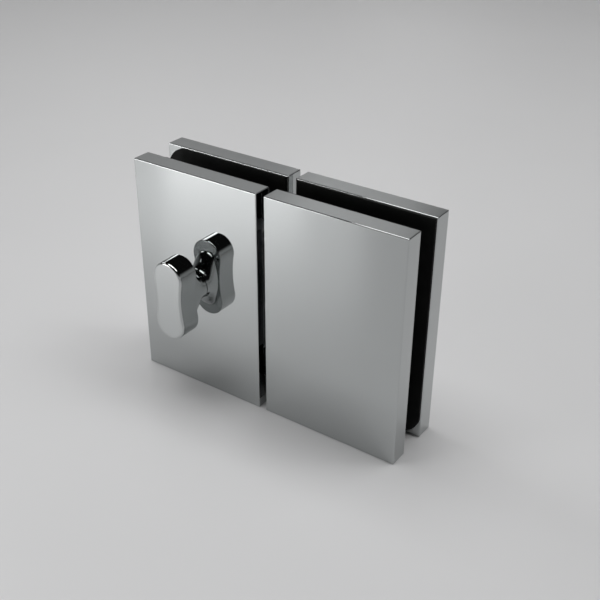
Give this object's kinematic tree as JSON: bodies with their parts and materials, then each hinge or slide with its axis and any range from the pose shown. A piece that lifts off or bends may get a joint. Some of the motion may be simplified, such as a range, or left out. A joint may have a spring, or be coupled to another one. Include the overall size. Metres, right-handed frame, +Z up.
{
  "type": "glass door privacy latch",
  "caption": "Polished glass-to-glass privacy latch: paired plate clamps with gaskets, a waisted thumbturn that shoots a flat rack bolt into the keeper clamp, coin release behind.",
  "frame": {"origin": "on the ground under the middle of the whole part: level with the plates' lower edges, midway across both clamps and midway from the thumbturn's face to the release rose", "axes": "+X across both clamps, from the latch clamp to the keeper clamp, the way the bolt is thrown; +Y from the thumbturn side to the release side; +Z up"},
  "size_m": [0.1162, 0.0454, 0.09],
  "materials": {
    "polished_chrome": "mirror polished",
    "gasket_rubber": "matte",
    "zinc_casting": "cast satin",
    "stainless": "fine brushed",
    "plated_screw": "bright plated",
    "gear_brass": "machined",
    "bush_nylon": "moulded"
  },
  "bodies": {
    "clamps": {"front_plate_latch": "polished_chrome", "back_plate_latch": "polished_chrome", "front_plate_keeper": "polished_chrome", "back_plate_keeper": "polished_chrome", "release_rose": "polished_chrome", "gasket_front_latch": "gasket_rubber", "gasket_back_latch": "gasket_rubber", "gasket_front_keeper": "gasket_rubber", "gasket_back_keeper": "gasket_rubber", "latch_case": "zinc_casting", "case_cover": "zinc_casting", "keeper_block": "zinc_casting", "strike_plate": "stainless", "detent_ball": "stainless", "detent_spring": "stainless", "detent_plug": "stainless", "case_cover_screws": "plated_screw", "strike_screws": "plated_screw", "clamp_screws_latch": "plated_screw", "clamp_screws_keeper": "plated_screw", "knob_bush": "bush_nylon", "release_bush": "bush_nylon"},
    "thumbturn": {"thumbturn_knob": "polished_chrome", "knob_set_screw": "plated_screw", "spindle": "stainless", "pinion": "gear_brass", "release_turn": "polished_chrome"},
    "bolt": {"latch_bolt": "stainless"}
  },
  "joints": [
    {"name": "thumbturn_turn", "type": "hinge", "parent": "clamps", "child": "thumbturn", "pos_m": [-0.0309, 0.0066, 0.045], "axis": [0, 1, 0], "range_deg": [0, 90]},
    {"name": "bolt_slide", "type": "slide", "parent": "clamps", "child": "bolt", "axis": [1, 0, 0], "range_m": [0, 0.00942]}
  ],
  "couplings": [
    {"joint": "bolt_slide", "follows": "thumbturn_turn", "m_per_rad": 0.006}
  ]
}
